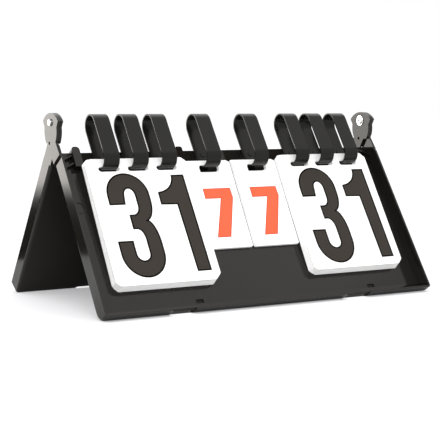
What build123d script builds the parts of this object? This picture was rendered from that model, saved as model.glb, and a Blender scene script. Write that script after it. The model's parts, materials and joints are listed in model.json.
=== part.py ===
from build123d import *
from math import acos, atan2, cos, hypot, radians, sin, sqrt
import os

os.makedirs("parts", exist_ok=True)

# Tabletop flip scoreboard. Two shallow trays are riveted together at their ears and stand as an
# A-frame. The front tray carries eight strap loops with four packs of numbered cards, and the
# rear lid folds over the top to close on the front tray's rim.
# Sizes in mm. X runs along the width, the front tray faces -Y, Z is up and the table is Z = 0.

# Stance and fold
front_lean = 33.8  # front tray's lean from upright, degrees
front_fold_offset = 19.7  # rivet line in front of the front tray's datum plane
lid_fold_offset = 16.3  # rivet line in front of the lid's outer face

# Front tray; v runs up the tray from the rivet line, n runs out of its face
front_length = 212.2
front_top = 26.4  # panel's top edge below the rivet line
front_back = 2.8  # outer back face from the datum plane
front_floor = 2.2
front_depth = 18.5
front_wall = 2.0
front_foot_radius = 12.5
front_ear_step = 1.0  # ears stand this far out of the side walls
corner_radius = 3.0

# Rear lid, nested inside the front tray's rim when folded
lid_top = 28.6
lid_floor = 2.2
lid_depth = 17.7
lid_wall = 2.2
lid_foot_radius = 4.5
lid_ear_step = 0.4  # ears are this much thicker than the side walls
nest_gap = 0.3  # between the lid's walls and the front tray's walls

# Ears
cap_half_width = 18.0
cap_rise = 9.5
cap_edge = 1.5
cap_under = 4.5
body_half_width = 14.5
waist_drop = 10.5
waist_half_width = 14.8
neck_half_width = 10.5
neck_drop = 20.5
arm_foot = 41.0  # where the ear's extra thickness ends
arm_root = 12.0
arm_run = 4.0  # slope from the side wall up to the ear's face
arm_land = 0.05  # step left at the foot of that slope
front_arm_set_back = 1.1  # arm edge behind the tray's rim
front_shoulder = 38.0
front_neck = 22.0
front_neck_set_back = 2.3
lid_arm_set_back = 0.4
lid_shoulder = 25.0
lid_neck = 20.0
lid_neck_set_back = 5.0
detent_drop = 20.2
detent_set_back = 2.9  # detent hole behind the rivet
detent_radius = 1.7

# Hinge rivets and their washers
rivet_radius = 2.5
rivet_play = 0.05
rivet_head_radius = 3.5
rivet_head_height = 1.8
rivet_head_round = 0.6
washer_radius = 5.7
washer_thickness = 0.8
roll_radius = 4.2
roll_height = 1.4
roll_bore = 1.6
roll_bore_depth = 3.0

# Strap loops
loop_step = 32.0  # between the three loops of a score pack
set_loop_offset = 1.5  # set packs' loops outside the middle of their cards
strap_width = 16.8
strap_thickness = 1.5
loop_radius = 12.0
loop_centre = 21.5  # loop's middle line from the datum plane
loop_high = 5.7  # centre of the upper bend below the rivet line
loop_low = 43.2  # centre of the lower bend below the rivet line
pad_width = 15.0
pad_height = 11.0
pad_radius = 3.0
strap_rivet_drop = 36.0
strap_rivet_radius = 1.5
strap_rivet_head = 2.8
strap_rivet_head_height = 1.0
strap_rivet_play = 0.1
strap_rivet_sink = 0.2  # rear heads below the tray's back face

# Card packs, side by side from the middle outwards
row_shift = 1.5  # loops and score packs sit this far to the right
set_gap = 3.0
set_width = 52.0
pack_gap = 2.1
score_width = 114.4
side_room = 18.6
card_thickness = 0.5
card_gap = 0.3
slot_play = 0.5
slot_width = 23.0
slot_radius = 2.0
score_height = 136.0
score_corner = 6.5
score_tilt = 1.9
score_set_back = 1.5  # card face behind the loop's middle line
score_strip = 9.8  # card above its slots
score_slot_height = 4.4
score_stack_depth = 5.6
set_height = 99.5
set_corner = 3.0
set_tilt = 4.3
set_set_back = 5.65
set_strip = 6.3
set_slot_height = 8.2
set_stack_depth = 2.6
stack_floor_gap = 0.3

# Moulded details of the front tray
lug_inset = 19.9  # from the side wall's inner face
lug_width = 8.5
lug_top = 23.3
lug_foot = 45.9
lug_height = 7.0
lug_round = 3.5
rib_width = 1.6
rib_height = 5.0
rib_drop = 28.9
rib_step = 9.0
rib_fall = 10.0
tab_spot = 49.0
tab_width = 8.0
tab_rise = 5.5
tab_round = 2.5
boss_inset = 9.4
boss_drop = 88.4
boss_radius = 6.5
boss_wall = 1.2
boss_height = 0.8
left_notch_spot = 107.9
left_notch_width = 25.2
right_notch_spot = 96.5
right_notch_width = 29.0
notch_depth = 13.0
notch_round = 2.5
lid_notch_rise = 4.0
left_hole_spot = 79.9
right_hole_spot = 127.3
hole_width = 8.5
hole_height = 4.0
hole_rise = 14.6  # floor holes above the foot

# Heights, widths and planes that follow from the sizes above
set_spot = (set_gap + set_width) / 2
score_spot = set_gap / 2 + set_width + pack_gap + score_width / 2
set_loop_spot = set_spot + set_loop_offset
lid_half_width = score_spot + score_width / 2 + side_room
front_floor_face = front_back + front_floor
front_rim = front_back + front_depth
front_inside = lid_half_width + nest_gap
front_half_width = front_inside + front_wall
ear_outside = front_half_width + front_ear_step
lid_inside = lid_half_width - lid_wall
lid_ear_inside = lid_inside - lid_ear_step
front_sine = sin(radians(front_lean))
front_cosine = cos(radians(front_lean))
hinge_height = (
    front_foot_radius
    + (front_length - front_foot_radius) * front_cosine
    + (front_fold_offset - front_back - front_foot_radius) * front_sine
)

# The lid fills the front tray when folded, and leans back until its foot meets the table
lid_length = front_length - front_floor - nest_gap
foot_drop = lid_length - lid_foot_radius
foot_depth = lid_fold_offset - lid_foot_radius
lid_lean = atan2(foot_depth, foot_drop) + acos(
    (hinge_height - lid_foot_radius) / hypot(foot_drop, foot_depth)
)
lid_sine = sin(lid_lean)
lid_cosine = cos(lid_lean)
front_reach = front_length * front_sine + (front_rim - front_fold_offset) * front_cosine
lid_reach = lid_length * lid_sine + (lid_depth - lid_fold_offset) * lid_cosine
hinge_y = (front_reach - lid_reach) / 2
front_arm_edge = front_rim - front_arm_set_back
lid_arm_edge = lid_depth - lid_arm_set_back
loop_inner_radius = loop_radius - strap_thickness
loop_back = loop_centre - loop_radius
strap_face = loop_back + strap_thickness
rivet_seat = front_back + strap_rivet_sink + strap_rivet_head_height

pack_loops = {}
for name, side in (("left", -1), ("right", 1)):
    middle_loop = row_shift + side * score_spot
    pack_loops["score", name] = [middle_loop - loop_step, middle_loop, middle_loop + loop_step]
    pack_loops["set", name] = [row_shift + side * set_loop_spot]
loop_spots = sorted(spot for loops in pack_loops.values() for spot in loops)
strap_rivet_spots = [(spot, -strap_rivet_drop) for spot in loop_spots]
notches = ((-left_notch_spot, left_notch_width), (right_notch_spot, right_notch_width))

rivet_line = Vector(0, hinge_y, hinge_height)
front_up = Vector(0, front_sine, front_cosine)
front_out = Vector(0, -front_cosine, front_sine)
lid_up = Vector(0, -lid_sine, lid_cosine)
lid_out = Vector(0, lid_cosine, lid_sine)
front_datum = rivet_line - front_out * front_fold_offset
lid_datum = rivet_line - lid_out * lid_fold_offset
front_foot = front_datum - front_up * front_length
front_face = Plane(origin=front_datum, x_dir=(1, 0, 0), z_dir=front_out)
front_side = Plane(origin=front_datum, x_dir=front_up, z_dir=(1, 0, 0))
front_under = Plane(origin=front_foot, x_dir=(1, 0, 0), z_dir=-front_up)
lid_face = Plane(origin=lid_datum, x_dir=(-1, 0, 0), z_dir=lid_out)
lid_side = Plane(origin=lid_datum, x_dir=lid_up, z_dir=(-1, 0, 0))
hinge_side = Plane(origin=rivet_line, x_dir=(0, 1, 0), z_dir=(1, 0, 0))
loop_axis_point = front_datum + front_out * loop_centre - front_up * loop_low


def finish(part, name):
    part.part.label = name
    export_step(part.part, f"parts/{name}.step")


def ear_head():
    """Bottle-cap outline of an ear, drawn round the rivet."""
    with BuildLine() as outline:
        ThreePointArc((-cap_half_width, cap_edge), (0, cap_rise), (cap_half_width, cap_edge))
        Line((cap_half_width, cap_edge), (body_half_width, -cap_under))
        ThreePointArc(
            (body_half_width, -cap_under), (waist_half_width, -waist_drop), (neck_half_width, -neck_drop)
        )
        Line((neck_half_width, -neck_drop), (-neck_half_width, -neck_drop))
        ThreePointArc(
            (-neck_half_width, -neck_drop), (-waist_half_width, -waist_drop), (-body_half_width, -cap_under)
        )
        Line((-body_half_width, -cap_under), (-cap_half_width, cap_edge))
    make_face(outline.edges())


def ear_arm(back, edge, shoulder, neck, neck_edge):
    """Straight arm from the side wall up into the head, in v and n."""
    with BuildLine() as outline:
        Polyline(
            (-arm_foot, back),
            (-arm_foot, edge),
            (-shoulder, edge),
            (-neck, neck_edge),
            (-arm_root, neck_edge),
            (-arm_root, back),
            close=True,
        )
    make_face(outline.edges())


def side_profile(length, top, back, rim, edge, wall=0.0, floor=0.0, over=0.0):
    """Side view of a tray: the full outline, or the hollow inside it."""
    with BuildLine() as outline:
        Polyline(
            (-length + wall, back + floor),
            (-length + wall, rim + over),
            (-arm_foot, rim + over),
            (-arm_foot + rim - edge, edge + over),
            (-top + over, edge + over),
            (-top + over, back + floor),
            close=True,
        )
    make_face(outline.edges())


def hinge_holes():
    """Rivet hole and detent hole of an ear."""
    Circle(rivet_radius + rivet_play)
    with Locations((detent_set_back, -detent_drop)):
        Circle(detent_radius)


cut_over = 2.0  # cutting shapes run this far past the faces they cut
corner_cosine = 0.7  # edges that run from a stack's face to its back

# Front tray
front_hollow = (front_floor, front_floor, cut_over)
with BuildPart() as front_tray:
    with BuildSketch(front_side):
        side_profile(front_length, front_top, front_back, front_rim, front_arm_edge)
    extrude(amount=front_half_width, both=True)
    back_edge = front_tray.edges().filter_by(Axis.X).sort_by(Axis.Z)[:2].sort_by(Axis.Y)[-1]
    fillet(back_edge, front_foot_radius)
    corner_edges = front_tray.edges().filter_by(lambda e: abs(e.tangent_at(0).dot(front_out)) > 0.99)
    corner_edges = corner_edges.sort_by(Axis(front_datum, front_up))[:2]
    fillet(corner_edges, corner_radius)
    with BuildSketch(front_side):
        side_profile(front_length, front_top, front_back, front_rim, front_arm_edge, *front_hollow)
        inner_corner = vertices().sort_by(Axis.X)[:2].sort_by(Axis.Y)[0]
        fillet(inner_corner, front_foot_radius - front_floor)
    extrude(amount=front_inside, both=True, mode=Mode.SUBTRACT)
    for side in (-1, 1):
        with BuildSketch(front_side.offset(side * front_inside)):
            ear_arm(
                front_back, front_arm_edge, front_shoulder, front_neck, front_rim - front_neck_set_back
            )
        extrude(amount=side * (front_wall + front_ear_step))
        outer_face = front_tray.faces(Select.LAST).sort_by(Axis.X)[0 if side < 0 else -1]
        foot_edge = outer_face.edges().sort_by(Axis(front_datum, front_up))[0]
        chamfer(foot_edge, arm_run, front_ear_step - arm_land, reference=outer_face)
        with BuildSketch(hinge_side.offset(side * front_inside)):
            ear_head()
        extrude(amount=side * (front_wall + front_ear_step))
    with BuildSketch(hinge_side):
        hinge_holes()
    extrude(amount=ear_outside + cut_over, both=True, mode=Mode.SUBTRACT)
    # Pads that carry the strap loops, with holes for their rivets
    with BuildSketch(front_face.offset(front_floor_face)):
        with Locations(strap_rivet_spots):
            RectangleRounded(pad_width, pad_height, pad_radius)
    extrude(amount=loop_back - front_floor_face)
    with BuildSketch(front_face.offset(loop_back + cut_over)):
        with Locations(strap_rivet_spots):
            Circle(strap_rivet_radius + strap_rivet_play)
    extrude(amount=-(loop_back + cut_over), mode=Mode.SUBTRACT)
    with BuildSketch(front_face.offset(rivet_seat)):
        with Locations(strap_rivet_spots):
            Circle(strap_rivet_head + strap_rivet_play)
    extrude(amount=-(rivet_seat - front_back + cut_over), mode=Mode.SUBTRACT)
    # Lugs beside the cards with their slanting ribs
    for side in (-1, 1):
        lug_spot = side * (front_inside - lug_inset)
        with BuildSketch(front_face.offset(front_back)):
            with Locations((lug_spot, -(lug_top + lug_foot) / 2)):
                Rectangle(lug_width, lug_foot - lug_top)
            fillet(vertices().group_by(Axis.Y)[-1], lug_round)
        extrude(amount=front_floor + lug_height)
        with BuildSketch(front_face.offset(front_floor_face)):
            rib_end = side * (front_inside + front_wall / 2)
            for drop in (rib_drop, rib_drop + rib_step):
                with BuildLine():
                    Polyline(
                        (lug_spot, -drop),
                        (rib_end, -drop - rib_fall),
                        (rib_end, -drop - rib_fall - rib_width),
                        (lug_spot, -drop - rib_width),
                        close=True,
                    )
                make_face()
        extrude(amount=rib_height)
    # Small tab on the panel's top edge
    with BuildSketch(front_face.offset(front_back)):
        with Locations((-tab_spot, -front_top)):
            Rectangle(tab_width, 2 * tab_rise)
        fillet(vertices().group_by(Axis.Y)[-1], tab_round)
    extrude(amount=front_floor)
    # Raised ring moulded on the floor
    with BuildSketch(front_face.offset(front_floor_face)):
        with Locations((boss_inset - front_inside, -boss_drop)):
            Circle(boss_radius)
            Circle(boss_radius - boss_wall, mode=Mode.SUBTRACT)
    extrude(amount=boss_height)
    # Finger notches in the bottom rim
    with BuildSketch(front_under):
        for spot, width in notches:
            with Locations((spot, front_rim)):
                RectangleRounded(width, 2 * notch_depth, notch_round)
    extrude(amount=-front_foot_radius - cut_over, mode=Mode.SUBTRACT)
    # Square holes in the floor, above the foot
    with BuildSketch(front_face.offset(front_floor_face + front_foot_radius)):
        hole_drop = front_length - hole_rise
        with Locations((-left_hole_spot, -hole_drop), (right_hole_spot, -hole_drop)):
            Rectangle(hole_width, hole_height)
    extrude(amount=-(front_floor_face + front_foot_radius), mode=Mode.SUBTRACT)
finish(front_tray, "front_tray")

# Rear lid
lid_hollow = (lid_floor, lid_floor, cut_over)
with BuildPart() as rear_lid:
    with BuildSketch(lid_side):
        side_profile(lid_length, lid_top, 0, lid_depth, lid_arm_edge)
    extrude(amount=lid_half_width, both=True)
    foot_edge = rear_lid.edges().filter_by(Axis.X).sort_by(Axis.Z)[:2].sort_by(Axis.Y)[0]
    fillet(foot_edge, lid_foot_radius)
    lid_corners = rear_lid.edges().filter_by(lambda e: abs(e.tangent_at(0).dot(lid_out)) > 0.99)
    fillet(lid_corners.sort_by(Axis(lid_datum, lid_up))[:2], corner_radius)
    with BuildSketch(lid_side):
        side_profile(lid_length, lid_top, 0, lid_depth, lid_arm_edge, *lid_hollow)
        lid_inner_corner = vertices().sort_by(Axis.X)[:2].sort_by(Axis.Y)[0]
        fillet(lid_inner_corner, lid_foot_radius - lid_floor)
    extrude(amount=lid_inside, both=True, mode=Mode.SUBTRACT)
    for side in (-1, 1):
        with BuildSketch(lid_side.offset(side * lid_half_width)):
            ear_arm(0, lid_arm_edge, lid_shoulder, lid_neck, lid_depth - lid_neck_set_back)
        extrude(amount=-side * (lid_wall + lid_ear_step))
        with BuildSketch(hinge_side.offset(side * lid_half_width)):
            ear_head()
        extrude(amount=-side * (lid_wall + lid_ear_step))
    with BuildSketch(hinge_side):
        hinge_holes()
    extrude(amount=lid_half_width + cut_over, both=True, mode=Mode.SUBTRACT)
    with BuildSketch(lid_face.offset(-cut_over)):
        for spot, width in notches:
            with Locations((-spot, -lid_length)):
                RectangleRounded(width, 2 * lid_notch_rise, notch_round)
    extrude(amount=lid_depth + 2 * cut_over, mode=Mode.SUBTRACT)
finish(rear_lid, "rear_lid")

# Strap loops: flat bands bent into a racetrack, riveted to the pads by their rear legs
for number, spot in enumerate(loop_spots, 1):
    with BuildPart() as ring:
        with BuildSketch(front_side.offset(spot)):
            with Locations((-(loop_high + loop_low) / 2, loop_centre)):
                SlotCenterToCenter(loop_low - loop_high, 2 * loop_radius)
                SlotCenterToCenter(loop_low - loop_high, 2 * loop_inner_radius, mode=Mode.SUBTRACT)
        extrude(amount=strap_width / 2, both=True)
        with BuildSketch(front_face.offset(strap_face)):
            with Locations((spot, -strap_rivet_drop)):
                Circle(strap_rivet_radius + strap_rivet_play)
        extrude(amount=-strap_thickness, mode=Mode.SUBTRACT)
    finish(ring, f"ring_{number}")

# Rivets through each strap, its pad and the panel, with their rear heads sunk into the back
with BuildPart() as ring_rivets:
    with BuildSketch(front_face.offset(strap_face)):
        with Locations(strap_rivet_spots):
            Circle(strap_rivet_head)
    extrude(amount=strap_rivet_head_height, taper=30)
    with BuildSketch(front_face.offset(rivet_seat)):
        with Locations(strap_rivet_spots):
            Circle(strap_rivet_radius)
    extrude(amount=strap_face - rivet_seat)
    with BuildSketch(front_face.offset(rivet_seat)):
        with Locations(strap_rivet_spots):
            Circle(strap_rivet_head)
    extrude(amount=-strap_rivet_head_height, taper=30)
finish(ring_rivets, "ring_rivets")

# Hinge rivets: a round head outside, a rolled tubular end over a washer inside
washer_face = lid_ear_inside - rivet_play
roll_face = washer_face - washer_thickness
for name, side in (("left", -1), ("right", 1)):
    with BuildPart() as hinge_rivet:
        with BuildSketch(Plane(rivet_line, x_dir=(side, 0, 0), z_dir=(0, -side, 0))):
            with BuildLine():
                Polyline(
                    (roll_face - roll_height, 0),
                    (roll_face - roll_height, roll_radius),
                    (roll_face, roll_radius),
                    (roll_face, rivet_radius),
                    (ear_outside, rivet_radius),
                    (ear_outside, rivet_head_radius),
                    (ear_outside + rivet_head_height, rivet_head_radius),
                    (ear_outside + rivet_head_height, 0),
                    close=True,
                )
            make_face()
            head_corner = vertices().sort_by(Axis.X)[-2:].sort_by(Axis.Y)[-1]
            fillet(head_corner, rivet_head_round)
            roll_corner = vertices().sort_by(Axis.X)[:2].sort_by(Axis.Y)[-1]
            fillet(roll_corner, rivet_head_round)
        revolve(axis=Axis(rivet_line, (1, 0, 0)))
        with BuildSketch(hinge_side.offset(side * (roll_face - roll_height))):
            Circle(roll_bore)
        extrude(amount=side * roll_bore_depth, mode=Mode.SUBTRACT)
    finish(hinge_rivet, f"hinge_rivet_{name}")

    with BuildPart() as hinge_washer:
        with BuildSketch(hinge_side.offset(side * roll_face)):
            Circle(washer_radius)
            Circle(rivet_radius + rivet_play, mode=Mode.SUBTRACT)
        extrude(amount=side * washer_thickness)
    finish(hinge_washer, f"hinge_washer_{name}")


def card_planes(tilt):
    """Face and side planes of a card, through the centre line of the loops' lower bend."""
    along = front_up * cos(radians(tilt)) + front_out * sin(radians(tilt))
    out = front_out * cos(radians(tilt)) - front_up * sin(radians(tilt))
    face = Plane(loop_axis_point, x_dir=(1, 0, 0), z_dir=out)
    side = Plane(loop_axis_point, x_dir=along, z_dir=(1, 0, 0))
    return face, side


def slot_head(set_back):
    """Top of a card's slots, hanging on the strap's lower bend."""
    return slot_play - sqrt(loop_inner_radius**2 - (set_back + card_thickness) ** 2)


packs = (
    ("score", row_shift, score_spot, score_width, score_height, score_corner, score_tilt, score_set_back),
    ("set", 0, set_spot, set_width, set_height, set_corner, set_tilt, set_set_back),
)
strips = {"score": score_strip, "set": set_strip}
slot_heights = {"score": score_slot_height, "set": set_slot_height}
stack_depths = {"score": score_stack_depth, "set": set_stack_depth}

for kind, shift, spot, width, height, corner, tilt, set_back in packs:
    face, side_view = card_planes(tilt)
    slot_top = slot_head(set_back)
    card_top = slot_top + strips[kind]
    slot_height = slot_heights[kind]
    for name, side in (("left", -1), ("right", 1)):
        centre = shift + side * spot
        threaded = pack_loops[kind, name]
        slots = [(x, slot_top - slot_height / 2) for x in threaded]

        # Front card, free to swing on the loops' lower bend
        with BuildPart() as card:
            with BuildSketch(face.offset(-set_back)):
                with Locations((centre, card_top - height / 2)):
                    Rectangle(width, height)
                chamfer(vertices(), corner)
                with Locations(slots):
                    RectangleRounded(slot_width, slot_height, slot_radius, mode=Mode.SUBTRACT)
            extrude(amount=-card_thickness)
        finish(card, f"{kind}_card_{name}")

        # Cards still waiting behind it, riding up the bend towards the back
        stack_face = -(set_back + card_thickness + card_gap)
        stack_back = stack_face - stack_depths[kind]
        stack_foot = card_top - height
        foot_back = (
            front_floor_face + stack_floor_gap - loop_centre - stack_foot * sin(radians(tilt))
        ) / cos(radians(tilt))

        def ride(depth, rise):
            return rise - sqrt(loop_inner_radius**2 - depth**2)

        middle = (stack_face + stack_back) / 2
        top_rise = slot_play + strips[kind]
        with BuildPart() as stack:
            with BuildSketch(side_view.offset(centre)):
                with BuildLine():
                    Line((stack_foot, stack_face), (ride(stack_face, top_rise), stack_face))
                    ThreePointArc(
                        (ride(stack_face, top_rise), stack_face),
                        (ride(middle, top_rise), middle),
                        (ride(stack_back, top_rise), stack_back),
                    )
                    Polyline(
                        (ride(stack_back, top_rise), stack_back),
                        (stack_foot, foot_back),
                        (stack_foot, stack_face),
                    )
                make_face()
            extrude(amount=width / 2, both=True)
            stack_corners = stack.edges().filter_by(
                lambda e: abs(e.tangent_at(0.5).dot(face.z_dir)) > corner_cosine
            )
            chamfer(stack_corners, corner)
            for x in threaded:
                with BuildSketch(side_view.offset(x)):
                    with BuildLine():
                        ThreePointArc(
                            (ride(stack_face, slot_play), stack_face),
                            (ride(middle, slot_play), middle),
                            (ride(stack_back, slot_play), stack_back),
                        )
                        Polyline(
                            (ride(stack_back, slot_play), stack_back),
                            (ride(stack_back, slot_play), stack_back - cut_over),
                            (ride(stack_back, slot_play - slot_height), stack_back - cut_over),
                            (ride(stack_face, slot_play - slot_height), stack_face),
                            (ride(stack_face, slot_play), stack_face),
                        )
                    make_face()
                extrude(amount=slot_width / 2, both=True, mode=Mode.SUBTRACT)
        finish(stack, f"{kind}_stack_{name}")
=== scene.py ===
import json
import math
import bmesh
import bpy
import numpy as np
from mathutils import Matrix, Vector
from mathutils.geometry import tessellate_polygon


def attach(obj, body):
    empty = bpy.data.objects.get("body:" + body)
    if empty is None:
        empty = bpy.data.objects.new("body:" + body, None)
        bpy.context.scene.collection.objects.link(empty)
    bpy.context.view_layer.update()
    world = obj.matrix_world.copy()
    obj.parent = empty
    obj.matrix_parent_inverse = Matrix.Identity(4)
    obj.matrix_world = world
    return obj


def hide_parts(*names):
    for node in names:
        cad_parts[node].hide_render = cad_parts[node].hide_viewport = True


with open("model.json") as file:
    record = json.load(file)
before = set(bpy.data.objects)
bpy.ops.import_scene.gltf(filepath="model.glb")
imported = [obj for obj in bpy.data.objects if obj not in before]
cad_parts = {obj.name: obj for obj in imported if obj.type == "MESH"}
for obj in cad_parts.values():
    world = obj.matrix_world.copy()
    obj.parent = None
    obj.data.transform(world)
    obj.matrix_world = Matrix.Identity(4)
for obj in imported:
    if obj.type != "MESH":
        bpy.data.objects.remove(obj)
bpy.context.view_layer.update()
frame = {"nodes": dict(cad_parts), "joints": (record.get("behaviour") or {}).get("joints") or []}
mm = 0.001
print("frame loaded")

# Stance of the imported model, in mm and degrees; floorFace is the front tray's inner floor
stance = {"lean": 33.8, "foldOffset": 19.7, "floorFace": 5.0}
foldJoint = next(joint for joint in frame["joints"] if joint["name"] == "lid_fold")
rivetLine = np.array(foldJoint["pos_m"], float)
lean = math.radians(stance["lean"])
acrossDir = np.array([1.0, 0.0, 0.0])
frontUp = np.array([0.0, math.sin(lean), math.cos(lean)])
frontOut = np.array([0.0, -math.cos(lean), math.sin(lean)])


# A point of the front tray: rivet line + x across + v up the tray + (n - offset) out of its face
def frontPoint(x, v, n):
    x, v, n = np.broadcast_arrays(np.asarray(x, float), np.asarray(v, float), np.asarray(n, float))
    outwards = (n - stance["foldOffset"])[..., None] * frontOut
    return rivetLine + (x[..., None] * acrossDir + v[..., None] * frontUp + outwards) * mm


# Camera at the photograph's angle
camera = {"place": (-0.6822, -1.14521, 0.19235), "turn": (85.3517, 0.1025, -30.8298), "lens": 103.08,
          "sensor": 36.0, "near": 0.01, "far": 60.0}
cameraData = bpy.data.cameras.new("photoCamera")
cameraData.lens = camera["lens"]
cameraData.sensor_width = camera["sensor"]
cameraData.clip_start = camera["near"]
cameraData.clip_end = camera["far"]
photoCamera = bpy.data.objects.new("photoCamera", cameraData)
photoCamera.location = camera["place"]
photoCamera.rotation_euler = [math.radians(angle) for angle in camera["turn"]]
bpy.context.scene.collection.objects.link(photoCamera)
bpy.context.scene.camera = photoCamera


# Puts arrays of points (metres) and faces into a new mesh object
def newObject(name, points, faces, material, smooth=True):
    mesh = bpy.data.meshes.new(name)
    mesh.from_pydata(np.asarray(points).reshape(-1, 3).tolist(), [], faces)
    mesh.update()
    mesh.polygons.foreach_set("use_smooth", np.full(len(mesh.polygons), smooth))
    made = bpy.data.objects.new(name, mesh)
    bpy.context.scene.collection.objects.link(made)
    mesh.materials.append(material)
    return made


# Turns all faces of a closed mesh outwards
def faceOutwards(made):
    work = bmesh.new()
    work.from_mesh(made.data)
    bmesh.ops.recalc_face_normals(work, faces=work.faces)
    work.to_mesh(made.data)
    work.free()
    return made


# Says what a finished piece rides on, and hides the CAD node it stands for
def settle(made, body, node=None):
    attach(made, body)
    if node:
        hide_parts(node)
    return made


# Quads between neighbours of a grid of points that closes on itself both ways
def closedGrid(rows, columns):
    row = np.arange(rows)[:, None]
    column = np.arange(columns)[None, :]
    nextRow = (row + 1) % rows
    nextColumn = (column + 1) % columns
    corners = [row * columns + column, row * columns + nextColumn,
               nextRow * columns + nextColumn, nextRow * columns + column]
    return np.stack(corners, -1).reshape(-1, 4).tolist()


# An elliptic arc: centre plus the two radii times cosine and sine of an angle from first to last
def arcPoints(centre, radii, first, last, steps=12):
    angle = np.radians(np.linspace(first, last, steps))
    return np.stack([centre[0] + radii[0] * np.cos(angle), centre[1] + radii[1] * np.sin(angle)], -1)


# A rectangle whose corners are quarter circles
def roundedOutline(centreX, centreY, width, height, radius, steps):
    corners = []
    for quarter, (sideX, sideY) in enumerate(((1, 1), (-1, 1), (-1, -1), (1, -1))):
        centre = (centreX + sideX * (width / 2 - radius), centreY + sideY * (height / 2 - radius))
        corners.append(arcPoints(centre, (radius, radius), 90 * quarter, 90 * quarter + 90, steps))
    return np.concatenate(corners)


# A rectangle whose corners are cut off at 45 degrees; the one at the foot's left has its own cut
def clippedOutline(left, right, foot, top, clip, footClip):
    return np.array([(right, foot + clip), (right, top - clip), (right - clip, top), (left + clip, top),
                     (left, top - clip), (left, foot + footClip), (left + footClip, foot),
                     (right - clip, foot)], float)


# Corners made round: a curve (1-t)^2 start + 2t(1-t) corner + t^2 end, where start and end lie
# a reach before and after the corner, along its two edges
def softenedCorners(points, reach, steps=5):
    before = np.roll(points, 1, 0) - points
    after = np.roll(points, -1, 0) - points
    start = (points + before / np.linalg.norm(before, axis=1)[:, None] * reach)[:, None]
    end = (points + after / np.linalg.norm(after, axis=1)[:, None] * reach)[:, None]
    t = np.linspace(0, 1, steps)[None, :, None]
    curve = (1 - t) ** 2 * start + 2 * t * (1 - t) * points[:, None] + t ** 2 * end
    return curve.reshape(-1, 2)


# An outline moved inwards: each corner goes along the sum of its two edges' normals, divided by
# one plus their cosine
def inset(points, amount):
    before = points - np.roll(points, 1, 0)
    after = np.roll(points, -1, 0) - points
    before /= np.linalg.norm(before, axis=1)[:, None]
    after /= np.linalg.norm(after, axis=1)[:, None]
    normalBefore = np.stack([-before[:, 1], before[:, 0]], -1)
    normalAfter = np.stack([-after[:, 1], after[:, 0]], -1)
    onwards = np.roll(points, -1, 0)
    area = np.sum(points[:, 0] * onwards[:, 1] - onwards[:, 0] * points[:, 1])
    cosine = np.sum(normalBefore * normalAfter, axis=1)[:, None]
    return points + math.copysign(amount, area) * (normalBefore + normalAfter) / (1 + cosine)


# A new shader node group with its sockets
def newGroup(name, inputs, outputs):
    tree = bpy.data.node_groups.new(name, "ShaderNodeTree")
    for label, kind, value in inputs:
        tree.interface.new_socket(label, in_out="INPUT", socket_type=kind).default_value = value
    for label, kind in outputs:
        tree.interface.new_socket(label, in_out="OUTPUT", socket_type=kind)
    return tree, tree.nodes.new("NodeGroupInput"), tree.nodes.new("NodeGroupOutput")


# Moulding grain, in the noises' own units; the bump's distance is in metres
grainLook = {"fineDetail": 4.0, "broadScale": 22.0, "broadDetail": 3.0, "noiseMiddle": 0.5,
             "bumpDistance": 0.0002}


# Broad noise mixes two shades and moves the roughness about its level, fine noise gives the bump
def buildMouldGrain():
    tree, source, sink = newGroup(
        "mouldGrain",
        [("Vector", "NodeSocketVector", (0, 0, 0)), ("Scale", "NodeSocketFloat", 900.0),
         ("Bump", "NodeSocketFloat", 0.05), ("Roughness", "NodeSocketFloat", 0.3),
         ("Spread", "NodeSocketFloat", 0.06), ("Dark", "NodeSocketColor", (0, 0, 0, 1)),
         ("Light", "NodeSocketColor", (1, 1, 1, 1))],
        [("Color", "NodeSocketColor"), ("Roughness", "NodeSocketFloat"), ("Normal", "NodeSocketVector")])
    link = tree.links.new
    fine = tree.nodes.new("ShaderNodeTexNoise")
    fine.inputs["Detail"].default_value = grainLook["fineDetail"]
    link(source.outputs["Vector"], fine.inputs["Vector"])
    link(source.outputs["Scale"], fine.inputs["Scale"])
    broad = tree.nodes.new("ShaderNodeTexNoise")
    broad.inputs["Scale"].default_value = grainLook["broadScale"]
    broad.inputs["Detail"].default_value = grainLook["broadDetail"]
    link(source.outputs["Vector"], broad.inputs["Vector"])
    bump = tree.nodes.new("ShaderNodeBump")
    bump.inputs["Distance"].default_value = grainLook["bumpDistance"]
    link(source.outputs["Bump"], bump.inputs["Strength"])
    link(fine.outputs["Fac"], bump.inputs["Height"])
    link(bump.outputs["Normal"], sink.inputs["Normal"])
    mix = tree.nodes.new("ShaderNodeMix")
    mix.data_type = "RGBA"
    link(broad.outputs["Fac"], mix.inputs[0])
    link(source.outputs["Dark"], mix.inputs[6])  # colour A
    link(source.outputs["Light"], mix.inputs[7])  # colour B
    link(mix.outputs[2], sink.inputs["Color"])
    centred = tree.nodes.new("ShaderNodeMath")
    centred.operation = "SUBTRACT"
    centred.inputs[1].default_value = grainLook["noiseMiddle"]
    link(broad.outputs["Fac"], centred.inputs[0])
    spread = tree.nodes.new("ShaderNodeMath")
    spread.operation = "MULTIPLY_ADD"
    link(centred.outputs[0], spread.inputs[0])
    link(source.outputs["Spread"], spread.inputs[1])
    link(source.outputs["Roughness"], spread.inputs[2])
    link(spread.outputs[0], sink.inputs["Roughness"])
    return tree


mouldGrain = buildMouldGrain()


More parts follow.
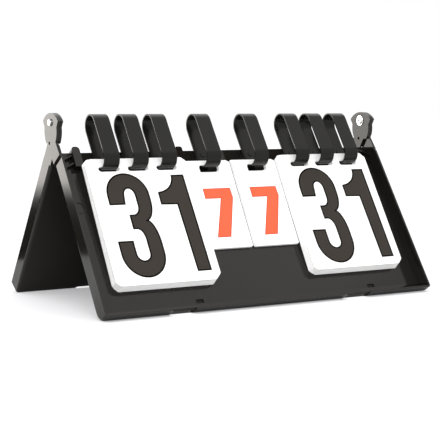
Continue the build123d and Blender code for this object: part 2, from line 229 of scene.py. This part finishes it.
# A finish on the moulding grain; metal, index, gloss level and glow are set on the shader itself
def grainFinish(name, dark, light, roughness, spread, bump, scale, metallic=0.0, ior=1.5, gloss=0.5,
                glow=0.0):
    material = bpy.data.materials.new(name)
    material.use_nodes = True
    nodes, link = material.node_tree.nodes, material.node_tree.links.new
    shader = nodes["Principled BSDF"]
    coords = nodes.new("ShaderNodeTexCoord")
    grain = nodes.new("ShaderNodeGroup")
    grain.node_tree = mouldGrain
    link(coords.outputs["Object"], grain.inputs["Vector"])
    grain.inputs["Scale"].default_value = scale
    grain.inputs["Bump"].default_value = bump
    grain.inputs["Roughness"].default_value = roughness
    grain.inputs["Spread"].default_value = spread
    grain.inputs["Dark"].default_value = (*dark, 1)
    grain.inputs["Light"].default_value = (*light, 1)
    link(grain.outputs["Color"], shader.inputs["Base Color"])
    link(grain.outputs["Roughness"], shader.inputs["Roughness"])
    link(grain.outputs["Normal"], shader.inputs["Normal"])
    shader.inputs["Metallic"].default_value = metallic
    shader.inputs["IOR"].default_value = ior
    shader.inputs["Specular IOR Level"].default_value = gloss
    shader.inputs["Emission Color"].default_value = (*light, 1)
    shader.inputs["Emission Strength"].default_value = glow
    return material


# Finishes: two shades and the grain's values, then what differs from a plain shader
finishes = {
    "blackShell": {"dark": (0.009, 0.008, 0.007), "light": (0.014, 0.012, 0.010), "roughness": 0.10,
                   "spread": 0.05, "bump": 0.012, "scale": 1400.0, "ior": 1.38},
    "blackStrap": {"dark": (0.006, 0.006, 0.005), "light": (0.010, 0.010, 0.008), "roughness": 0.20,
                   "spread": 0.06, "bump": 0.05, "scale": 900.0, "ior": 1.30},
    # The recess finish is a darker, matte black: painted shade for the plugs in the square holes
    "recessShade": {"dark": (0.004, 0.004, 0.003), "light": (0.007, 0.006, 0.005), "roughness": 0.6,
                    "spread": 0.04, "bump": 0.02, "scale": 900.0, "gloss": 0.2},
    # The white cards glow a little: painted light that lifts their shading near the straps and on the
    # stacks' edges
    "whiteCard": {"dark": (0.87, 0.87, 0.865), "light": (0.91, 0.91, 0.905), "roughness": 0.42,
                  "spread": 0.05, "bump": 0.02, "scale": 1800.0, "glow": 0.12},
    "rivetMetal": {"dark": (0.86, 0.86, 0.86), "light": (0.93, 0.93, 0.92), "roughness": 0.25,
                   "spread": 0.08, "bump": 0.03, "scale": 700.0, "metallic": 1.0},
    "scoreInk": {"dark": (0.026, 0.021, 0.016), "light": (0.033, 0.026, 0.020), "roughness": 0.5,
                 "spread": 0.04, "bump": 0.02, "scale": 900.0, "gloss": 0.2},
    "scoreOutline": {"dark": (0.002, 0.002, 0.002), "light": (0.004, 0.003, 0.003), "roughness": 0.6,
                     "spread": 0.04, "bump": 0.02, "scale": 900.0, "gloss": 0.05},
    "setInk": {"dark": (0.80, 0.112, 0.046), "light": (0.88, 0.132, 0.058), "roughness": 0.5,
               "spread": 0.04, "bump": 0.02, "scale": 900.0, "gloss": 0.2},
    "setOutline": {"dark": (0.50, 0.060, 0.026), "light": (0.56, 0.072, 0.032), "roughness": 0.5,
                   "spread": 0.04, "bump": 0.02, "scale": 900.0, "gloss": 0.1},
    "floorPaint": {"dark": (0.66, 0.66, 0.67), "light": (0.68, 0.68, 0.69), "roughness": 0.8,
                   "spread": 0.04, "bump": 0.0, "scale": 60.0, "gloss": 0.2},
    "flagCloth": {"dark": (0.002, 0.002, 0.002), "light": (0.004, 0.004, 0.004), "roughness": 0.9,
                  "spread": 0.04, "bump": 0.0, "scale": 60.0, "gloss": 0.0},
}
materials = {name: grainFinish(name, **values) for name, values in finishes.items()}
print("materials made")

# Trays: copies of the CAD shells with softened edges; merge in metres, edge in mm, the angles in degrees
shellLook = {"merge": 1e-6, "flat": 0.5, "edge": 0.35, "segments": 2, "sharp": 28.0}


# Copies a CAD shell, joins its loose triangles and rounds its sharp edges with a small bevel
def softenedShell(node, name, body):
    mesh = frame["nodes"][node].data.copy()
    mesh.name = name
    work = bmesh.new()
    work.from_mesh(mesh)
    bmesh.ops.remove_doubles(work, verts=work.verts, dist=shellLook["merge"])
    bmesh.ops.dissolve_limit(work, angle_limit=math.radians(shellLook["flat"]), verts=work.verts,
                             edges=work.edges)
    work.to_mesh(mesh)
    work.free()
    mesh.materials.clear()
    mesh.materials.append(materials["blackShell"])
    mesh.polygons.foreach_set("use_smooth", np.full(len(mesh.polygons), True))
    made = bpy.data.objects.new(name, mesh)
    bpy.context.scene.collection.objects.link(made)
    bevel = made.modifiers.new("edgeRound", "BEVEL")
    bevel.width = shellLook["edge"] * mm
    bevel.segments = shellLook["segments"]
    bevel.limit_method = "ANGLE"
    bevel.angle_limit = math.radians(shellLook["sharp"])
    made.modifiers.new("flatSides", "WEIGHTED_NORMAL")
    return settle(made, body, node)


softenedShell("front_tray", "frontTrayShell", "front")
softenedShell("rear_lid", "rearLidShell", "lid")
print("shells made")

# Dark plugs filling the square holes: painted shade that makes the holes read dark; drop is how far below
# the rivets
holePlug = {"spots": (-79.9, 127.3), "drop": 197.6, "width": 8.3, "height": 3.8, "low": 2.9, "high": 3.9}


# A box whose eight corners are its middle plus and minus half its width and height, at two depths
def holeShadePlug(spot):
    halves = np.array([(-1, -1), (1, -1), (1, 1), (-1, 1)]) / 2
    x = spot + halves[:, 0] * holePlug["width"]
    v = -holePlug["drop"] + halves[:, 1] * holePlug["height"]
    points = np.concatenate([frontPoint(x, v, holePlug["low"]), frontPoint(x, v, holePlug["high"])])
    return points, [(3, 2, 1, 0), (4, 5, 6, 7), (0, 1, 5, 4), (1, 2, 6, 5), (2, 3, 7, 6), (3, 0, 4, 7)]


# Each plug fills a square hole with the darker, matte black: painted shade
for number, spot in enumerate(holePlug["spots"], 1):
    blade = newObject(f"holeShadePlug{number}", *holeShadePlug(spot), materials["recessShade"], False)
    settle(faceOutwards(blade), "front")

# Strap loops; spots are their middles across the tray, high and low how far below the rivets the
# bends' middles lie, and centre is the bends' n
strap = {"width": 16.8, "thickness": 1.5, "edgeRound": 0.12, "radius": 12.0, "centre": 21.5, "high": 5.7,
         "low": 43.2, "bendSteps": 25, "legSteps": 8, "sectionSteps": 5,
         "spots": (-143.3, -111.3, -79.3, -27.5, 30.5, 82.3, 114.3, 146.3)}


# A rounded-rectangle section carried round a racetrack of two half circles and two straight legs:
# path (v, n) plus the section's width across and its thickness along the path's normal
def strapSurface(spot):
    middle = strap["radius"] - strap["thickness"] / 2
    arc = np.linspace(0, math.pi, strap["bendSteps"])
    run = np.linspace(0, 1, strap["legSteps"])[1:-1]
    leg = -strap["high"] + (strap["high"] - strap["low"]) * run
    level = np.zeros(run.size)
    sine, cosine = np.sin(arc), np.cos(arc)
    v = np.concatenate([-strap["high"] + middle * sine, leg, -strap["low"] - middle * sine, leg[::-1]])
    normalV = np.concatenate([sine, level, -sine, level])
    normalN = np.concatenate([cosine, level - 1, -cosine, level + 1])
    section = roundedOutline(0, 0, strap["width"], strap["thickness"], strap["edgeRound"],
                             strap["sectionSteps"])
    vGrid = v[:, None] + section[None, :, 1] * normalV[:, None]
    nGrid = strap["centre"] + (middle + section[None, :, 1]) * normalN[:, None]
    return frontPoint(spot + section[None, :, 0], vGrid, nGrid), closedGrid(v.size, len(section))


for number, spot in enumerate(strap["spots"], 1):
    loop = faceOutwards(newObject(f"strapLoop{number}", *strapSurface(spot), materials["blackStrap"]))
    loop.modifiers.new("creases", "WEIGHTED_NORMAL")
    settle(loop, "front", f"ring_{number}")
print("straps made")

# Card packs; y runs up a card and z out of its face, from the middle of the straps' lower bend.
# strip is the card above its slots, lift raises the slots in it, and sag lengthens every second sheet
cardLook = {"thickness": 0.5, "gap": 0.3, "slotPlay": 0.5, "slotWidth": 23.0, "slotRadius": 2.6,
            "slotSteps": 4, "bendInner": 10.5, "floorGap": 0.3, "sheet": 0.35}
scoreLook = {"width": 114.4, "height": 136.0, "clip": 6.2, "footClip": 3.6, "soft": 1.6, "tilt": 1.9,
             "setBack": 1.5, "strip": 9.8, "slotHeight": 5.6, "lift": 1.0, "depth": 5.6, "sheets": 14,
             "fanTop": 0.6, "fanFoot": 1.5, "sag": 1.2}
setLook = {"width": 52.0, "height": 97.5, "clip": 1.3, "footClip": 1.3, "soft": 0.5, "tilt": 4.3,
           "setBack": 5.65, "strip": 4.3, "slotHeight": 9.0, "lift": 0.0, "depth": 2.6, "sheets": 7,
           "fanTop": 0.2, "fanFoot": 0.5, "sag": 0.0}
packs = {
    "scoreLeft": {**scoreLook, "card": "score_card_left", "stack": "score_stack_left", "centre": -111.0,
                  "spots": (0, 1, 2), "height": 137.2, "footClip": 4.6, "fanTop": 0.3, "fanFoot": 0.5},
    "setLeft": {**setLook, "card": "set_card_left", "stack": "set_stack_left", "centre": -27.5,
                "spots": (3,)},
    "setRight": {**setLook, "card": "set_card_right", "stack": "set_stack_right", "centre": 28.2,
                 "spots": (4,), "width": 53.4},
    "scoreRight": {**scoreLook, "card": "score_card_right", "stack": "score_stack_right",
                   "centre": 114.3, "spots": (5, 6, 7), "clip": 5.4, "soft": 1.0},
}


# A point of a tilted pack: the bend's middle + y along the card + z out of it, both turned by the tilt
def cardPoint(pack, x, y, z):
    tilt = math.radians(pack["tilt"])
    v = -strap["low"] + y * math.cos(tilt) - z * math.sin(tilt)
    n = strap["centre"] + y * math.sin(tilt) + z * math.cos(tilt)
    return frontPoint(x, v, n)


# Height at which a slot's top hangs on the bend: play less the root of radius squared less depth squared
def hangHeight(depth):
    return cardLook["slotPlay"] - math.sqrt(cardLook["bendInner"] ** 2 - depth ** 2)


# A sheet with holes: the outlines filled at a depth, a copy one thickness behind, and walls between;
# the depth and the sideways shift are one number each, or one for each point of the outlines
def sheetSolid(pack, outlines, depth, thickness, shift=0.0):
    flat = np.concatenate(outlines)
    loops = [[Vector((*point, 0)) for point in line] for line in outlines]
    triangles = [tuple(corners) for corners in tessellate_polygon(loops)]
    points = np.concatenate([cardPoint(pack, flat[:, 0] + shift, flat[:, 1], depth),
                             cardPoint(pack, flat[:, 0] + shift, flat[:, 1], depth - thickness)])
    count = len(flat)
    faces = triangles + [tuple(i + count for i in corners[::-1]) for corners in triangles]
    start = 0
    for line in outlines:
        here = np.arange(len(line)) + start
        onwards = np.roll(here, -1)
        faces += np.stack([here, here + count, onwards + count, onwards], -1).tolist()
        start += len(line)
    return points, faces


# One sheet's outline and its slots, from its foot, its top edge and the slots' top
def sheetOutlines(pack, foot, top, slotTop):
    half = pack["width"] / 2
    edge = clippedOutline(pack["centre"] - half, pack["centre"] + half, foot, top, pack["clip"],
                          pack["footClip"])
    outlines = [softenedCorners(edge, pack["soft"])]
    slotMiddle = slotTop + pack["lift"] - pack["slotHeight"] / 2
    for index in pack["spots"]:
        slot = roundedOutline(strap["spots"][index], slotMiddle, cardLook["slotWidth"],
                              pack["slotHeight"], cardLook["slotRadius"], cardLook["slotSteps"])
        outlines.append(slot[::-1])
    return outlines


# The sheets waiting behind a front card: each hangs a little higher and is fanned to the left, but
# every second one is fanned to the right and reaches lower; depth and fan change evenly down a sheet
def stackMesh(pack, cardFoot):
    tilt = math.radians(pack["tilt"])
    stackFace = -pack["setBack"] - cardLook["thickness"] - cardLook["gap"]
    stackBack = stackFace - pack["depth"] + cardLook["sheet"]
    floorDrop = stance["floorFace"] + cardLook["floorGap"] - strap["centre"] - cardFoot * math.sin(tilt)
    footBack = floorDrop / math.cos(tilt) + cardLook["sheet"]
    points, faces, start = [], [], 0
    for number, share in enumerate(np.linspace(0, 1, pack["sheets"])):
        second = number % 2 == 1
        zTop = stackFace + (stackBack - stackFace) * share
        zFoot = stackFace + (footBack - stackFace) * share
        slotTop = hangHeight(zTop)
        top = slotTop + pack["strip"]
        foot = cardFoot - (pack["sag"] * share if second else 0)
        outlines = sheetOutlines(pack, foot, top, slotTop)
        fall = (top - np.concatenate(outlines)[:, 1]) / (top - cardFoot)
        fan = (pack["fanTop"] + (pack["fanFoot"] - pack["fanTop"]) * fall) * share
        sheetPoints, sheetFaces = sheetSolid(pack, outlines, zTop + (zFoot - zTop) * fall,
                                             cardLook["sheet"], fan if second else -fan)
        points.append(sheetPoints)
        faces += [tuple(i + start for i in face) for face in sheetFaces]
        start += len(sheetPoints)
    return np.concatenate(points), faces


for label, pack in packs.items():
    slotTop = hangHeight(pack["setBack"] + cardLook["thickness"])
    top = slotTop + pack["strip"]
    foot = top - pack["height"]
    outlines = sheetOutlines(pack, foot, top, slotTop)
    sheet = sheetSolid(pack, outlines, -pack["setBack"], cardLook["thickness"])
    card = faceOutwards(newObject(f"{label}Card", *sheet, materials["whiteCard"], False))
    settle(card, pack["card"], pack["card"])
    stack = faceOutwards(newObject(f"{label}Stack", *stackMesh(pack, foot), materials["whiteCard"], False))
    settle(stack, "front", pack["stack"])
print("cards made")

# Numerals printed on the front cards, measured from a card's middle and from the straps' lower bend
ink = {"scoreEdge": 1.7, "setEdge": 0.9, "lift": 0.05, "setShift": {"setLeft": 0.0, "setRight": 0.5}}


# The figure three: the outer bowls, each an elliptic arc, then the inner ones back to the start
def threeOutline():
    return np.concatenate([
        [(-42.4, -51.6)],
        arcPoints((-19.3, -41.0), (23.0, 24.3), 180, 0, 26),
        arcPoints((-7.5, -48.0), (11.2, 22.3), 0, -76, 10),
        arcPoints((-7.5, -95.0), (10.4, 26.6), 71, 0, 12),
        arcPoints((-20.6, -105.0), (23.5, 25.3), 0, -180, 26),
        [(-44.1, -90.5), (-27.3, -90.5)],
        arcPoints((-20.4, -104.8), (6.9, 7.3), 180, 360, 16),
        arcPoints((-20.0, -90.0), (6.5, 11.4), 0, 90, 8),
        [(-24.2, -78.6), (-24.2, -62.6)],
        arcPoints((-19.0, -53.0), (6.6, 9.6), -90, 0, 8),
        arcPoints((-18.1, -42.2), (5.7, 8.1), 0, 180, 16),
        [(-25.0, -51.6)]])


# The figure one: a straight stem, and a flag whose upper edge is a hollow quarter ellipse
def oneOutline():
    return np.concatenate([
        [(47.9, -20.1), (48.6, -127.4), (32.6, -127.4), (31.4, -53.7), (13.5, -53.2), (13.7, -39.1)],
        arcPoints((13.7, -20.1), (19.7, 18.6), -84, 0, 12)])


# The figure seven: a bar, a short upright end and a slanting stem
def sevenOutline():
    return np.array([(-14.4, -34.6), (18.0, -34.6), (18.6, -45.6), (3.5, -89.4), (-12.3, -89.4),
                     (3.7, -46.2), (-14.4, -46.2)], float)


# Lays a figure on its card as a thin film of ink, with a rim of the darker outline ink round it
def printFigure(label, name, outline, edge, inkFinish, outlineFinish):
    pack = packs[label]
    outer = outline + np.array([pack["centre"], 0.0])
    inner = inset(outer, edge)
    face = ink["lift"] - pack["setBack"]
    for part, lines, finish in (("Fill", [inner], inkFinish), ("Rim", [outer, inner[::-1]], outlineFinish)):
        film = sheetSolid(pack, lines, face, ink["lift"])
        made = faceOutwards(newObject(f"{label}{name}{part}", *film, materials[finish], False))
        settle(made, pack["card"])


for label in ("scoreLeft", "scoreRight"):
    printFigure(label, "Three", threeOutline(), ink["scoreEdge"], "scoreInk", "scoreOutline")
    printFigure(label, "One", oneOutline(), ink["scoreEdge"], "scoreInk", "scoreOutline")
for label, shift in ink["setShift"].items():
    figure = sevenOutline() + np.array([shift, 0.0])
    printFigure(label, "Seven", figure, ink["setEdge"], "setInk", "setOutline")
print("numerals made")

# Finishes of the CAD nodes kept as they are: fold rivets in metal, strap rivets in the strap's black
nodeFinishes = {"hinge_rivet_left": "rivetMetal", "hinge_rivet_right": "rivetMetal",
                "hinge_washer_left": "rivetMetal", "hinge_washer_right": "rivetMetal",
                "ring_rivets": "blackStrap"}
for node, finish in nodeFinishes.items():
    frame["nodes"][node].data.materials.clear()
    frame["nodes"][node].data.materials.append(materials[finish])

# Floor, sky and sun; the low softbox and the dark card on the floor are seen in the side walls' gloss
stage = {"size": 30.0, "glow": 0.42, "sky": 1.0, "sun": 0.7, "sunSpread": 60.0,
         "sunTurn": (-28.0, 12.0, 0.0)}
flag = {"left": -1.50, "right": -0.12, "near": 0.37, "far": 1.50, "lift": 0.001}


# A flat rectangle at a height, facing up
def flatSheet(name, left, right, near, far, height, material):
    corners = [(left, near, height), (right, near, height), (right, far, height), (left, far, height)]
    made = newObject(name, corners, [(0, 1, 2, 3)], material, False)
    return made


# Makes a material glow for the camera alone, which lightens it and keeps its shadows soft
def cameraGlow(material, strength):
    nodes, link = material.node_tree.nodes, material.node_tree.links.new
    glow = nodes.new("ShaderNodeMath")
    glow.operation = "MULTIPLY"
    glow.inputs[1].default_value = strength
    link(nodes.new("ShaderNodeLightPath").outputs["Is Camera Ray"], glow.inputs[0])
    link(glow.outputs[0], nodes["Principled BSDF"].inputs["Emission Strength"])


half = stage["size"] / 2
flatSheet("paleFloor", -half, half, -half, half, 0.0, materials["floorPaint"])
cameraGlow(materials["floorPaint"], stage["glow"])
darkFlag = flatSheet("darkFlag", flag["left"], flag["right"], flag["near"], flag["far"], flag["lift"],
                     materials["flagCloth"])
darkFlag.visible_camera = False
darkFlag.visible_diffuse = False
darkFlag.visible_shadow = False

world = bpy.data.worlds.new("studioSky")
bpy.context.scene.world = world
world.use_nodes = True
background = world.node_tree.nodes["Background"]
background.inputs["Color"].default_value = (1, 1, 1, 1)
background.inputs["Strength"].default_value = stage["sky"]

sunData = bpy.data.lights.new("softSun", "SUN")
sunData.energy = stage["sun"]
sunData.angle = math.radians(stage["sunSpread"])
sun = bpy.data.objects.new("softSun", sunData)
sun.rotation_euler = [math.radians(angle) for angle in stage["sunTurn"]]
bpy.context.scene.collection.objects.link(sun)

softboxes = {
    "lowSoftbox": {"place": (-1.0, 1.66, 0.26), "target": (-1.0, 0.0, 0.26), "size": (1.3, 0.5),
                   "power": 7.0, "colour": (1.0, 0.95, 0.89)},
    "topSoftbox": {"place": (0.9, -1.0, 2.2), "target": (0, 0, 0.1), "size": (1.6, 1.6),
                   "power": 3.0, "colour": (1.0, 0.95, 0.88)},
    "frontSoftbox": {"place": (-0.9, -1.5, 1.3), "target": (0, 0, 0.1), "size": (1.2, 1.2),
                     "power": 20.0, "colour": (1.0, 1.0, 1.0)},
}


# A rectangular light at a place, turned to look at a target
def softbox(name, place, target, size, power, colour):
    data = bpy.data.lights.new(name, "AREA")
    data.shape = "RECTANGLE"
    data.size, data.size_y = size
    data.energy = power
    data.color = colour
    made = bpy.data.objects.new(name, data)
    made.location = place
    made.rotation_euler = (Vector(target) - Vector(place)).to_track_quat("-Z", "Y").to_euler()
    made.visible_camera = False
    bpy.context.scene.collection.objects.link(made)


for name, values in softboxes.items():
    softbox(name, **values)
bpy.context.scene.view_settings.view_transform = "Standard"
print("stage made")
